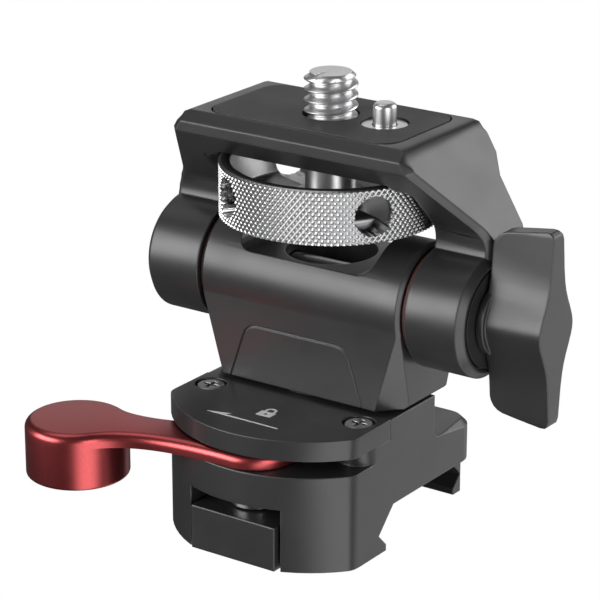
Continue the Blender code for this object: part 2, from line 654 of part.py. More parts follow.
def make_yoke():
    yoke = slab("tilt_yoke", yoke_side_view(), -BOSS_OUT - MM, BOSS_OUT + MM, "X")
    boolean(yoke, [slab("arch", yoke_front_view(), -12 * MM, 12 * MM, "Y")], "INTERSECT")
    yoke = baked(yoke)
    chamfer_ends(yoke, EDGE_CHAMFER)
    axis = (0, TILT_Z)
    cut(yoke, rod("axle_bore", AXLE_RADIUS + 0.2 * MM, -25 * MM, 25 * MM, axis, "X"))
    cut(yoke, rod("knob_recess", KNOB_WASHER_RADIUS + 0.35 * MM, BOSS_OUT - 1.1 * MM, 25 * MM, axis, "X"))
    cut(yoke, rod("head_recess", 4.6 * MM, -25 * MM, -BOSS_OUT + 4.0 * MM, axis, "X"))
    screw_axis = (0, PLATE_Y)
    cut(yoke, rod("wheel_pocket", WHEEL_RADIUS + 0.45 * MM, SLOT_CEILING - 2 * MM, WHEEL_POCKET_TOP,
                  screw_axis, sides=64))
    cut(yoke, rod("screw_hole", SCREW_HOLE_RADIUS, SLOT_CEILING, PLATE_TOP + MM, screw_axis))
    cut(yoke, rod("clip_seat", 4.6 * MM, PAD_BOTTOM - 0.7 * MM, PLATE_TOP + MM, screw_axis))
    cut(yoke, rod("pin_pocket", PIN_POCKET_RADIUS, PIN_FLOOR, PLATE_TOP + MM, (PIN_X, PIN_Y), sides=32))
    cut(yoke, slab("pad_recess", pad_outline(0.22 * MM), PAD_BOTTOM - 0.02 * MM, PLATE_TOP + MM, "Z"))
    return finish(yoke, *BLACK, tilt_axis)


def pad_outline(margin):
    half_x = PAD_HALF_X + margin
    half_y = PAD_HALF_Y + margin
    return round_box(-half_x, half_x, PLATE_Y - half_y, PLATE_Y + half_y, PAD_CORNER + margin)


def make_pad():
    pad = slab("top_pad", pad_outline(0), PAD_BOTTOM, PAD_TOP, "Z")
    cut(pad, rod("screw_hole", SCREW_HOLE_RADIUS, PAD_BOTTOM - MM, PAD_TOP + MM, (0, PLATE_Y)))
    cut(pad, rod("pin_hole", PIN_POCKET_RADIUS, PAD_BOTTOM - MM, PAD_TOP + MM, (PIN_X, PIN_Y), sides=32))
    return finish(pad, *RUBBER, tilt_axis)


def make_screw():
    profile = [(0, SCREW_TOP), (2.5 * MM, SCREW_TOP), (SCREW_RADIUS, SCREW_TOP - 0.65 * MM),
               (SCREW_RADIUS, PLATE_TOP - 0.1 * MM), (2.6 * MM, PLATE_TOP - 0.1 * MM),
               (2.6 * MM, PLATE_TOP - 1.6 * MM), (SHANK_RADIUS, PLATE_TOP - 1.6 * MM),
               (SHANK_RADIUS, WHEEL_BOTTOM + 0.2 * MM), (0, WHEEL_BOTTOM + 0.2 * MM)]
    screw = baked(turned("mounting_screw", profile, Matrix.Translation((0, PLATE_Y, 0))))
    return finish(screw, *STEEL, screw_axis)


def make_clip():
    """Retaining ring in the screw's groove, hidden under the pad."""
    low = PLATE_TOP - 1.3 * MM
    clip = ring("screw_clip", 2.7 * MM, 4.4 * MM, low, low + 0.5 * MM, centre=(0, PLATE_Y))
    return finish(clip, *STEEL, screw_axis)


def make_wheel():
    wheel = rod("thumbwheel", WHEEL_RADIUS, WHEEL_BOTTOM, WHEEL_TOP, (0, PLATE_Y), sides=72)
    hub_top = WHEEL_BOTTOM + 2.6 * MM
    web_top = WHEEL_BOTTOM + 1.8 * MM
    cavity = ring("cavity", 4.4 * MM, WHEEL_INNER, web_top, WHEEL_TOP + MM, centre=(0, PLATE_Y), sides=72)
    cut(wheel, baked(cavity))
    cut(wheel, rod("hub_trim", 5 * MM, hub_top, WHEEL_TOP + MM, (0, PLATE_Y)))
    cut(wheel, rod("bore", SHANK_RADIUS + 0.03 * MM, WHEEL_BOTTOM - MM, WHEEL_TOP, (0, PLATE_Y)))
    middle = (WHEEL_BOTTOM + WHEEL_TOP) / 2
    for angle in WHEEL_HOLE_ANGLES:
        hole = rod("hole", WHEEL_HOLE_RADIUS, 9 * MM, 16 * MM, (0, 0), "X", 28)
        hole.matrix_world = Matrix.Translation((0, PLATE_Y, middle)) @ Matrix.Rotation(math.radians(angle), 4, "Z")
        cut(wheel, baked(hole))
    return finish(wheel, *STEEL, screw_axis)


def make_pin():
    """Hollow pin with a collar; the bushing above the collar keeps it in the plate."""
    collar_top = PLATE_TOP - 1.05 * MM
    collar_low = collar_top - 0.6 * MM
    profile = [(0, PIN_TOP), (0.9 * MM, PIN_TOP), (PIN_RADIUS, PIN_TOP - 0.5 * MM), (PIN_RADIUS, collar_top),
               (2.3 * MM, collar_top), (2.3 * MM, collar_low), (0.95 * MM, collar_low),
               (0.95 * MM, PIN_TOP - 1.2 * MM), (0, PIN_TOP - 1.2 * MM)]
    pin = baked(turned("locating_pin", profile, Matrix.Translation((PIN_X, PIN_Y, 0)), 28))
    return finish(pin, *STEEL, pin_slide)


def make_pin_bushing():
    low = PLATE_TOP - 0.95 * MM
    bushing = ring("pin_bushing", PIN_RADIUS + 0.12 * MM, PIN_POCKET_RADIUS - 0.1 * MM, low, low + 0.83 * MM,
                   centre=(PIN_X, PIN_Y), sides=28)
    return finish(bushing, *STEEL, tilt_axis)


def make_pin_spring():
    spring = coil("pin_spring", 0.6 * MM, 0.3 * MM, PIN_FLOOR + FIT, PIN_TOP - 1.2 * MM - FIT, 8, "Z",
                  (PIN_X, PIN_Y))
    return finish(spring, *STEEL, tilt_axis)


# --- tilt axle and knob -------------------------------------------------------------------
def make_axle():
    axis = (0, TILT_Z)
    axle = rod("tilt_axle", AXLE_RADIUS, -BOSS_OUT + 3 * MM, 27.5 * MM, axis, "X")
    join(axle, rod("head", 4.3 * MM, -BOSS_OUT + 0.3 * MM, -BOSS_OUT + 3.9 * MM, axis, "X"))
    cut(axle, rod("hexagon_socket", 2.0 * MM, -BOSS_OUT - MM, -BOSS_OUT + 2.2 * MM, axis, "X", 6))
    return finish(axle, *STEEL, tilt_axis)


def make_tilt_washer(name, low, high):
    washer = ring(name, AXLE_RADIUS + 0.25 * MM, 6.6 * MM, low, high, "X", (0, TILT_Z))
    return finish(washer, *FIBRE, swivel_axis)


def knob_outline():
    """End view of the wing knob: a round hub drawn out into two tapering wings."""
    tip = KNOB_LENGTH_HALF
    flank = [(0.85 * MM, tip), (1.05 * MM, tip - 0.5 * MM), (1.45 * MM, 7.0 * MM), (1.72 * MM, 5.4 * MM),
             (2.0 * MM, 4.4 * MM), (2.45 * MM, 3.3 * MM), (3.0 * MM, 2.2 * MM), (3.45 * MM, 1.2 * MM),
             (3.65 * MM, 0.55 * MM)]
    right = flank + [(KNOB_HUB_RADIUS, 0)] + [(y, -z) for y, z in reversed(flank)]
    return [(y, z + TILT_Z) for y, z in right] + [(-y, TILT_Z - z) for y, z in right]


def make_knob():
    knob = slab("wing_knob", knob_outline(), KNOB_IN, KNOB_OUT, "X")
    span = [(KNOB_IN, -9.0 * MM), (KNOB_IN + 0.12 * MM, -9.6 * MM), (KNOB_IN + 0.45 * MM, -10.2 * MM),
            (KNOB_IN + 0.95 * MM, -10.65 * MM), (KNOB_IN + 1.6 * MM, -10.9 * MM),
            (KNOB_OUT - 1.2 * MM, -KNOB_LENGTH_HALF), (KNOB_OUT - 0.6 * MM, -11.65 * MM),
            (KNOB_OUT - 0.15 * MM, -11.3 * MM), (KNOB_OUT, -10.7 * MM)]
    span += [(x, -z) for x, z in reversed(span)]
    silhouette = slab("silhouette", [(x, z + TILT_Z) for x, z in span], -6 * MM, 6 * MM, "Y")
    boolean(knob, [silhouette], "INTERSECT")
    axis = (0, TILT_Z)
    join(knob, rod("collar", 4.3 * MM, BOSS_OUT + 0.15 * MM, KNOB_IN + 0.6 * MM, axis, "X"))
    cut(knob, rod("thread", AXLE_RADIUS + 0.05 * MM, BOSS_OUT - MM, 27.8 * MM, axis, "X"))
    return finish(knob, *BLACK, tilt_axis)


def make_knob_washer():
    washer = ring("knob_washer", AXLE_RADIUS + 0.2 * MM, KNOB_WASHER_RADIUS, BOSS_OUT - 1.0 * MM,
                  BOSS_OUT, "X", (0, TILT_Z))
    return finish(washer, *BLACK, tilt_axis)


swivel_axis = joint_empty("swivel_axis", (0, 0, BASE_TOP))
tilt_axis = joint_empty("tilt_axis", (0, 0, TILT_Z), swivel_axis)
screw_axis = joint_empty("screw_axis", (0, PLATE_Y, WHEEL_BOTTOM), tilt_axis)
pin_slide = joint_empty("pin_slide", (PIN_X, PIN_Y, PIN_TOP), tilt_axis)
lever_axis = joint_empty("lever_axis", (0, PIVOT_Y, LEVER_TOP))
jaw_slide = joint_empty("jaw_slide", (0, JAW_FRONT, JAW_TOP))

make_clamp_base()
make_cover()
make_cover_screw("cover_screw_left", -COVER_SCREW_X)
make_cover_screw("cover_screw_right", COVER_SCREW_X)
make_lever()
make_cam_shaft()
make_jaw()
make_jaw_spring("jaw_spring_left", -SPRING_X)
make_jaw_spring("jaw_spring_right", SPRING_X)
make_swivel_bolt()
finish(ring("swivel_washer", 3.2 * MM, 6.6 * MM, BASE_TOP + 0.1 * MM, FOOT_BOTTOM - 0.1 * MM), *POLYMER)
make_spring_washer("spring_washer_lower", BOLT_SEAT + 0.05 * MM, True)
make_spring_washer("spring_washer_upper", BOLT_SEAT + 0.66 * MM, False)
make_turret()
make_tilt_washer("tilt_washer_left", BOSS_IN_LEFT + 0.06 * MM, -BARREL_HALF - 0.06 * MM)
make_tilt_washer("tilt_washer_right", BARREL_HALF + 0.1 * MM, BOSS_IN_RIGHT - 0.1 * MM)
make_yoke()
make_pad()
make_screw()
make_clip()
make_wheel()
make_pin()
make_pin_bushing()
make_pin_spring()
make_axle()
make_knob_washer()
make_knob()
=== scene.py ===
"""Looks for the monitor tilt and swivel mount: finishes, knurl, thread, lever, marks and studio.

Frame: metres, +X along the tilt axis towards the wing knob, -Y to the front, +Z up. The
origin is on the rail seat.
"""
import json
import math

import bmesh
import bpy
from mathutils import Matrix, Vector


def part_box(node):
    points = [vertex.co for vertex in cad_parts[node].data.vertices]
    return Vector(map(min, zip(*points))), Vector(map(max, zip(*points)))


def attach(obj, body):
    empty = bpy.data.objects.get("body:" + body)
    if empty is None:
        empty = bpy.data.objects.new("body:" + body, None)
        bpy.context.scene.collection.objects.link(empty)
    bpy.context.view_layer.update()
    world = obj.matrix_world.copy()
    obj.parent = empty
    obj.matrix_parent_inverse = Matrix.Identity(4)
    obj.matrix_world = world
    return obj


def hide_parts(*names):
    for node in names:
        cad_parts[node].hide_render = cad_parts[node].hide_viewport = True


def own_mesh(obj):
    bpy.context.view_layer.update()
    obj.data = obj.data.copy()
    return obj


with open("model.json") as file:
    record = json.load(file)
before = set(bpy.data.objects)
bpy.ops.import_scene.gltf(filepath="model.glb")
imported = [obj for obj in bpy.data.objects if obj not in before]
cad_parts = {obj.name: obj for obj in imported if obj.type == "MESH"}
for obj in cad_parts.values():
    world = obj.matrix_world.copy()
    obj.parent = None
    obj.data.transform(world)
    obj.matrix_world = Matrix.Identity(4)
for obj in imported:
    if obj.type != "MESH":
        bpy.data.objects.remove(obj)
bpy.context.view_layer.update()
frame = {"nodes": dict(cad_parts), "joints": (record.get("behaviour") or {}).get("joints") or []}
NODES = frame["nodes"]

MM = 0.001
JOINT = {joint["name"]: joint for joint in frame["joints"]}
PLATE_Y = JOINT["thumbwheel_turn"]["pos_m"][1]
FRONT_WALL_Y = -7.05 * MM           # flat front of the turret, under the barrel

# Knurled wheel.
KNURL_PITCH_ROUND = 0.72 * MM
KNURL_PITCH_UP = 0.92 * MM
KNURL_DEPTH = 0.28 * MM
KNURL_STEPS = 6                     # mesh steps across one diamond
WHEEL_EDGE = 0.14 * MM
WHEEL_INNER = 11.7 * MM
WHEEL_WEB = 1.8 * MM
WHEEL_HUB = 4.4 * MM
WHEEL_HUB_RISE = 2.6 * MM
WHEEL_HOLE_RADIUS = 2.35 * MM
WHEEL_HOLE_ANGLES = (-33, 57, 147, 237)
SHANK_RADIUS = 3.0 * MM

# Lever.
HUB_RADIUS = 5.4 * MM
PADDLE_RADIUS = 6.2 * MM
LEVER_THICK = 1.7 * MM
LEVER_TOP_FILLET = 1.05 * MM
PADDLE_LOW_FILLET = 0.42 * MM

# Locating pin.
PIN_RADIUS = 1.37 * MM
PIN_BORE = 0.95 * MM                # blind bore that holds the spring
PIN_CAP = 1.2 * MM                  # solid metal above the bore

# Printed marks.
PRINT_THICK = 0.012 * MM

# Camera thread.
THREAD_PITCH = 1.27 * MM
THREAD_DEPTH = 0.74 * MM
THREAD_STEPS = 12                   # mesh rows in one pitch
THREAD_SIDES = 72


# --- materials ----------------------------------------------------------------------------
def add_node(tree, kind, inputs=None, **settings):
    node = tree.nodes.new(kind)
    for name, value in settings.items():
        setattr(node, name, value)
    for name, value in (inputs or {}).items():
        node.inputs[name].default_value = value
    return node


def grain_material(name, color, roughness, metallic, grain, grain_scale, edge=0.0, specular=0.5,
                   spread=0.12, soften=0.0):
    """Bead-blasted or moulded surface: fine grain in the bump and the colour, soft clouds in gloss,
    softened edges of a given radius, and slightly brighter wear along them."""
    material = bpy.data.materials.new(name)
    material.use_nodes = True
    tree = material.node_tree
    shader = tree.nodes["Principled BSDF"]
    shader.inputs["Metallic"].default_value = metallic
    shader.inputs["Specular IOR Level"].default_value = specular
    place = add_node(tree, "ShaderNodeTexCoord")
    fine = add_node(tree, "ShaderNodeTexNoise", {"Scale": grain_scale, "Detail": 3.0, "Roughness": 0.6})
    cloud = add_node(tree, "ShaderNodeTexNoise", {"Scale": 140.0, "Detail": 4.0, "Roughness": 0.55})
    tree.links.new(place.outputs["Object"], fine.inputs["Vector"])
    tree.links.new(place.outputs["Object"], cloud.inputs["Vector"])

    gloss = add_node(tree, "ShaderNodeMapRange", {"From Min": 0.3, "From Max": 0.7,
                                                  "To Min": roughness * (1 - spread),
                                                  "To Max": roughness * (1 + spread)})
    tree.links.new(cloud.outputs["Fac"], gloss.inputs["Value"])
    tree.links.new(gloss.outputs["Result"], shader.inputs["Roughness"])

    speck = add_node(tree, "ShaderNodeMapRange", {"From Min": 0.3, "From Max": 0.7,
                                                  "To Min": 0.86, "To Max": 1.14})
    tree.links.new(fine.outputs["Fac"], speck.inputs["Value"])
    tone = add_node(tree, "ShaderNodeMixRGB", {"Fac": 1.0, "Color1": (*color, 1)}, blend_type="MULTIPLY")
    tree.links.new(speck.outputs["Result"], tone.inputs["Color2"])
    bump = add_node(tree, "ShaderNodeBump", {"Strength": grain, "Distance": 0.02 * MM})
    tree.links.new(fine.outputs["Fac"], bump.inputs["Height"])
    tree.links.new(bump.outputs["Normal"], shader.inputs["Normal"])

    if soften:
        rounded = add_node(tree, "ShaderNodeBevel", {"Radius": soften}, samples=8)
        tree.links.new(rounded.outputs["Normal"], bump.inputs["Normal"])
        geometry = add_node(tree, "ShaderNodeNewGeometry")
        facing = add_node(tree, "ShaderNodeVectorMath", operation="DOT_PRODUCT")
        tree.links.new(rounded.outputs["Normal"], facing.inputs[0])
        tree.links.new(geometry.outputs["Normal"], facing.inputs[1])
        wear = add_node(tree, "ShaderNodeMapRange", {"From Min": 0.99, "From Max": 0.80,
                                                     "To Min": 0.0, "To Max": edge})
        tree.links.new(facing.outputs["Value"], wear.inputs["Value"])
        worn_color = tuple(min(1, c * 2.6 + 0.03) for c in color) + (1,)
        worn = add_node(tree, "ShaderNodeMixRGB", {"Color2": worn_color})
        tree.links.new(wear.outputs["Result"], worn.inputs["Fac"])
        tree.links.new(tone.outputs["Color"], worn.inputs["Color1"])
        tree.links.new(worn.outputs["Color"], shader.inputs["Base Color"])
    else:
        tree.links.new(tone.outputs["Color"], shader.inputs["Base Color"])
    return material


def turned_material(name, color, roughness, axis, centre, pitch=0.09 * MM, strength=0.12):
    """Bright turned metal: fine tool rings about an axis, over the same soft clouds."""
    material = grain_material(name, color, roughness, 1.0, 0.04, 9000.0)
    tree = material.node_tree
    shader = tree.nodes["Principled BSDF"]
    place = add_node(tree, "ShaderNodeTexCoord")
    shift = add_node(tree, "ShaderNodeMapping", {"Location": tuple(-c for c in centre)})
    wave = add_node(tree, "ShaderNodeTexWave", {"Scale": 0.05 / pitch, "Distortion": 0.6, "Detail": 1.5},
                    wave_type="RINGS", rings_direction=axis)
    bump = add_node(tree, "ShaderNodeBump", {"Strength": strength, "Distance": 0.01 * MM})
    tree.links.new(place.outputs["Object"], shift.inputs["Vector"])
    tree.links.new(shift.outputs["Vector"], wave.inputs["Vector"])
    tree.links.new(wave.outputs["Fac"], bump.inputs["Height"])
    tree.links.new(bump.outputs["Normal"], shader.inputs["Normal"])
    return material


BLACK = grain_material("black_anodised", (0.021, 0.021, 0.022), 0.36, 0.0, 0.22, 6500.0, edge=0.5,
                       specular=0.62, soften=0.32 * MM)
FINE_BLACK = grain_material("fine_black_anodised", (0.021, 0.021, 0.022), 0.36, 0.0, 0.22, 6500.0, edge=0.4,
                            specular=0.62, soften=0.2 * MM)
WHEEL_BLACK = grain_material("wheel_black", (0.014, 0.014, 0.014), 0.40, 0.0, 0.15, 6500.0)
RED = grain_material("red_anodised", (0.40, 0.045, 0.048), 0.32, 1.0, 0.10, 6500.0)
RED_SHADER = RED.node_tree.nodes["Principled BSDF"]
RED_SHADER.inputs["Coat Weight"].default_value = 0.7
RED_SHADER.inputs["Coat Roughness"].default_value = 0.30
RED_SHADER.inputs["Specular Tint"].default_value = (0.34, 0.40, 0.40, 1)
RUBBER = grain_material("rubber", (0.045, 0.045, 0.046), 0.62, 0.0, 0.45, 4200.0, edge=0.1, soften=0.12 * MM)
STEEL = turned_material("turned_steel", (0.66, 0.66, 0.665), 0.36, "Z", (0, PLATE_Y, 0), strength=0.05)
KNURL = grain_material("knurled_steel", (0.44, 0.44, 0.445), 0.34, 1.0, 0.05, 9000.0)
SPRING = grain_material("spring_steel", (0.45, 0.45, 0.46), 0.30, 1.0, 0.05, 9000.0, soften=0.08 * MM)
FIBRE = grain_material("friction_fibre", (0.085, 0.022, 0.016), 0.65, 0.0, 0.5, 3000.0)
POLYMER = grain_material("acetal", (0.016, 0.016, 0.016), 0.45, 0.0, 0.1, 5000.0, soften=0.12 * MM)
PRINT = grain_material("white_print", (0.82, 0.82, 0.82), 0.55, 0.0, 0.2, 5000.0)


# --- shape helpers ------------------------------------------------------------------------
def new_object(name, bm, materials, body=None, smooth_angle=35):
    bmesh.ops.recalc_face_normals(bm, faces=bm.faces)
    mesh = bpy.data.meshes.new(name)
    bm.to_mesh(mesh)
    bm.free()
    mesh.shade_smooth()
    mesh.set_sharp_from_angle(angle=math.radians(smooth_angle))
    for material in materials:
        mesh.materials.append(material)
    obj = bpy.data.objects.new(name, mesh)
    bpy.context.scene.collection.objects.link(obj)
    if body:
        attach(obj, body)
    return obj


def hidden_cutter(name, bm):
    cutter = new_object(name, bm, [])
    cutter.hide_render = True
    cutter.hide_viewport = True
    return cutter


def cylinder(bm, radius, start, end, matrix, sides=40):
    """Closed cylinder along local Z, placed by a matrix."""
    made = bmesh.ops.create_cone(bm, cap_ends=True, segments=sides, radius1=radius, radius2=radius,
                                 depth=end - start)
    bmesh.ops.translate(bm, vec=(0, 0, (start + end) / 2), verts=made["verts"])
    bmesh.ops.transform(bm, matrix=matrix, verts=made["verts"])
    return made["verts"]


def cut_by(obj, cutter, operation="DIFFERENCE"):
    modifier = obj.modifiers.new("cut", "BOOLEAN")
    modifier.object = cutter
    modifier.operation = operation
    modifier.solver = "EXACT"
    return modifier


def dress(name, material, cutter=None, smooth_angle=30):
    """A CAD node keeps its shape and gets smooth shading between its real edges, and its finish."""
    obj = NODES[name]
    obj.data.materials.clear()
    obj.data.materials.append(material)
    obj.data.shade_smooth()
    weld = obj.modifiers.new("weld", "WELD")
    weld.merge_threshold = 0.0005 * MM
    if cutter:
        cut_by(obj, cutter)
    split = obj.modifiers.new("edges", "EDGE_SPLIT")
    split.split_angle = math.radians(smooth_angle)
    split.use_edge_sharp = False
    normals = obj.modifiers.new("normals", "WEIGHTED_NORMAL")
    normals.keep_sharp = False
    return obj


# --- thumbwheel ---------------------------------------------------------------------------
def diamond(u, v):
    """Height of the knurl, 0 in a groove and 1 on a diamond's tip, for a place counted in diamonds."""
    a = (u + v) % 1.0
    b = (u - v) % 1.0
    return min(1 - abs(2 * a - 1), 1 - abs(2 * b - 1))


def make_wheel():
    """Knurled ring on a thin web and hub, with four radial holes."""
    low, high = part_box("thumbwheel")
    radius = (high.x - low.x) / 2
    bottom = low.z
    top = high.z
    around = round(2 * math.pi * radius / KNURL_PITCH_ROUND)
    columns = around * KNURL_STEPS
    up = round((top - bottom - 2 * WHEEL_EDGE) / KNURL_PITCH_UP)
    rows = up * KNURL_STEPS
    valley = radius - KNURL_DEPTH
    hub_top = bottom + WHEEL_HUB_RISE
    web_top = bottom + WHEEL_WEB
    rings = [(valley - 0.12 * MM, top, None), (valley, top - WHEEL_EDGE * 0.7, None)]
    for row in range(rows + 1):
        height = top - WHEEL_EDGE - (top - bottom - 2 * WHEEL_EDGE) * row / rows
        rings.append((radius, height, row / KNURL_STEPS))
    rings += [(valley, bottom + WHEEL_EDGE * 0.7, None), (valley - 0.12 * MM, bottom, None),
              (SHANK_RADIUS + 0.03 * MM, bottom, None), (SHANK_RADIUS + 0.03 * MM, hub_top, None),
              (WHEEL_HUB - 0.2 * MM, hub_top, None), (WHEEL_HUB, hub_top - 0.2 * MM, None),
              (WHEEL_HUB, web_top, None), (WHEEL_INNER - 0.3 * MM, web_top, None),
              (WHEEL_INNER, web_top + 0.3 * MM, None), (WHEEL_INNER, top - 0.12 * MM, None),
              (WHEEL_INNER + 0.12 * MM, top, None)]
    bm = bmesh.new()
    grid = []
    for ring_radius, height, knurl_row in rings:
        ring = []
        for column in range(columns):
            angle = 2 * math.pi * column / columns
            r = ring_radius
            if knurl_row is not None:
                r = valley + KNURL_DEPTH * min(0.9, diamond(column / KNURL_STEPS, knurl_row)) / 0.9
            ring.append(bm.verts.new((r * math.cos(angle), PLATE_Y + r * math.sin(angle), height)))
        grid.append(ring)
    last = len(rings) - 1
    for i, ring in enumerate(grid):
        below = grid[(i + 1) % len(grid)]
        for j in range(columns):
            k = (j + 1) % columns
            face = bm.faces.new((ring[j], ring[k], below[k], below[j]))
            face.material_index = 1 if i == last else 0
    bm.normal_update()
    cut = bmesh.new()
    middle = (bottom + top) / 2
    for angle in WHEEL_HOLE_ANGLES:
        place = (Matrix.Translation((0, PLATE_Y, middle)) @ Matrix.Rotation(math.radians(angle), 4, "Z")
                 @ Matrix.Rotation(math.radians(90), 4, "Y"))
        cylinder(cut, WHEEL_HOLE_RADIUS, 9 * MM, 16 * MM, place)
    cutter = hidden_cutter("wheel_hole_cutter", cut)
    wheel = new_object("knurled_thumbwheel", bm, [KNURL, WHEEL_BLACK], "screw", 50)
    cut_by(wheel, cutter)
    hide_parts("thumbwheel")
    return wheel


# --- camera screw -------------------------------------------------------------------------
def make_screw():
    """Camera thread as one helical skin trimmed to its envelope, and the plain shank under it."""
    low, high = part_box("mounting_screw")
    radius = (high.x - low.x) / 2 + 0.025 * MM
    top = high.z
    plate_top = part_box("tilt_yoke")[1].z
    thread_low = plate_top - 0.9 * MM
    start = thread_low - 2 * THREAD_PITCH
    rows = int((top + 2 * THREAD_PITCH - start) / THREAD_PITCH * THREAD_STEPS)
    bm = bmesh.new()
    columns = []
    for column in range(THREAD_SIDES):
        angle = 2 * math.pi * column / THREAD_SIDES
        line = []
        for row in range(rows + 1):
            phase = (row % THREAD_STEPS) / THREAD_STEPS
            crest = 1 - abs(2 * phase - 1)
            depth = THREAD_DEPTH * (1 - min(1, max(0, (crest - 0.10) / 0.78)))
            r = radius - depth
            z = start + THREAD_PITCH * (row / THREAD_STEPS + column / THREAD_SIDES)
            line.append(bm.verts.new((r * math.cos(angle), PLATE_Y + r * math.sin(angle), z)))
        columns.append(line)
    for column in range(THREAD_SIDES):
        here = columns[column]
        after = columns[(column + 1) % THREAD_SIDES]
        shift = THREAD_STEPS if column == THREAD_SIDES - 1 else 0
        for row in range(rows - shift):
            bm.faces.new((here[row], after[row + shift], after[row + shift + 1], here[row + 1]))
    middle = (start + top) / 2
    for end, height in ((-1, start - THREAD_PITCH), (1, top + 5 * THREAD_PITCH)):
        centre = bm.verts.new((0, PLATE_Y, height))
        rim = [edge for edge in bm.edges if edge.is_boundary and (edge.verts[0].co.z - middle) * end > 0]
        for edge in rim:
            bm.faces.new((edge.verts[0], edge.verts[1], centre))
    place = Matrix.Translation((0, PLATE_Y, 0))
    envelope = revolve([(0, top), (2.45 * MM, top), (radius + 0.02 * MM, top - 0.72 * MM),
                        (radius + 0.02 * MM, thread_low + 0.4 * MM), (2.6 * MM, thread_low),
                        (0, thread_low)], place, 96)
    thread = new_object("camera_thread", bm, [STEEL], "screw", 40)
    cut_by(thread, hidden_cutter("thread_envelope", envelope), "INTERSECT")
    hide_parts("mounting_screw")
    shank = [(0, thread_low - 0.02 * MM), (2.4 * MM, thread_low - 0.02 * MM),
             (2.6 * MM, thread_low - 0.25 * MM), (2.6 * MM, plate_top - 1.6 * MM),
             (SHANK_RADIUS - 0.15 * MM, plate_top - 1.6 * MM),
             (SHANK_RADIUS, plate_top - 1.75 * MM), (SHANK_RADIUS, low.z + 0.15 * MM),
             (SHANK_RADIUS - 0.15 * MM, low.z), (0, low.z)]
    new_object("screw_shank", revolve(shank, place, 64), [STEEL], "screw", 30)


def revolve(profile, place, sides=64):
    """Closed solid of revolution about local Z from (radius, height) points, top to bottom."""
    bm = bmesh.new()
    rings = []
    for radius, height in profile:
        if radius < 1e-9:
            rings.append([bm.verts.new((0, 0, height))])
            continue
        rings.append([bm.verts.new((radius * math.cos(2 * math.pi * i / sides),
                                    radius * math.sin(2 * math.pi * i / sides), height))
                      for i in range(sides)])
    if len(rings[0]) > 1:
        rings.append(rings[0])
    for upper, lower in zip(rings, rings[1:]):
        for i in range(sides):
            k = (i + 1) % sides
            corners = []
            for vert in (upper[i % len(upper)], upper[k % len(upper)],
                         lower[k % len(lower)], lower[i % len(lower)]):
                if vert not in corners:
                    corners.append(vert)
            bm.faces.new(corners)
    bmesh.ops.transform(bm, matrix=place, verts=bm.verts)
    return bm


def round_corner(profile, index, radius, steps=5):
    """The profile with one corner replaced by a fillet."""
    before, corner, after = (Vector(profile[index + i]) for i in (-1, 0, 1))
    into = (before - corner).normalized()
    out = (after - corner).normalized()
    half = into.angle(out) / 2
    centre = corner + (into + out).normalized() * radius / math.sin(half)
    start = corner + into * radius / math.tan(half) - centre
    end = corner + out * radius / math.tan(half) - centre
    points = []
    for i in range(steps + 1):
        mixed = start.lerp(end, i / steps).normalized() * radius
        points.append(tuple(centre + mixed))
    return profile[:index] + points + profile[index + 1:]


# --- locating pin -------------------------------------------------------------------------
def make_pin():
    """Round-topped pin with a collar and a spring bore, and the flange that it slides in."""
    low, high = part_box("locating_pin")
    x = (low.x + high.x) / 2
    y = (low.y + high.y) / 2
    collar = (high.x - low.x) / 2
    collar_top = low.z + 0.6 * MM
    bore_top = high.z - PIN_CAP
    profile = [(0, high.z), (PIN_RADIUS, high.z), (PIN_RADIUS, collar_top), (collar, collar_top),
               (collar, low.z), (PIN_BORE, low.z), (PIN_BORE, bore_top), (0, bore_top)]
    profile = round_corner(profile, 4, 0.1 * MM, 2)
    profile = round_corner(profile, 3, 0.1 * MM, 2)
    profile = round_corner(profile, 1, 0.55 * MM, 7)
    finish = turned_material("pin_steel", (0.66, 0.66, 0.665), 0.33, "Z", (x, y, 0), strength=0.05)
    place = Matrix.Translation((x, y, 0))
    pin = new_object("round_locating_pin", revolve(profile, place, 56), [finish], "pin", 40)
    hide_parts("locating_pin")

    seat_low, seat_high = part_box("pin_bushing")
    outer = (seat_high.x - seat_low.x) / 2
    inner = PIN_RADIUS + 0.12 * MM
    profile = [(inner, seat_high.z), (outer, seat_high.z), (outer, seat_low.z), (inner, seat_low.z)]
    profile = round_corner(profile, 1, 0.12 * MM, 3)
    seat = new_object("pin_flange", revolve(profile, place, 56), [finish], "yoke", 40)
    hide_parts("pin_bushing")


# --- lever --------------------------------------------------------------------------------
def arc_points(centre, radius, start, end, steps):
    return [Vector((centre[0] + radius * math.cos(math.radians(start + (end - start) * i / steps)),
                    centre[1] + radius * math.sin(math.radians(start + (end - start) * i / steps))))
            for i in range(steps + 1)]


def bend_points(p0, p1, p2, p3, steps):
    """Points along a cubic curve, without its two ends."""
    return [p0 * (1 - t) ** 3 + p1 * 3 * t * (1 - t) ** 2 + p2 * 3 * t * t * (1 - t) + p3 * t ** 3
            for t in (i / steps for i in range(1, steps))]


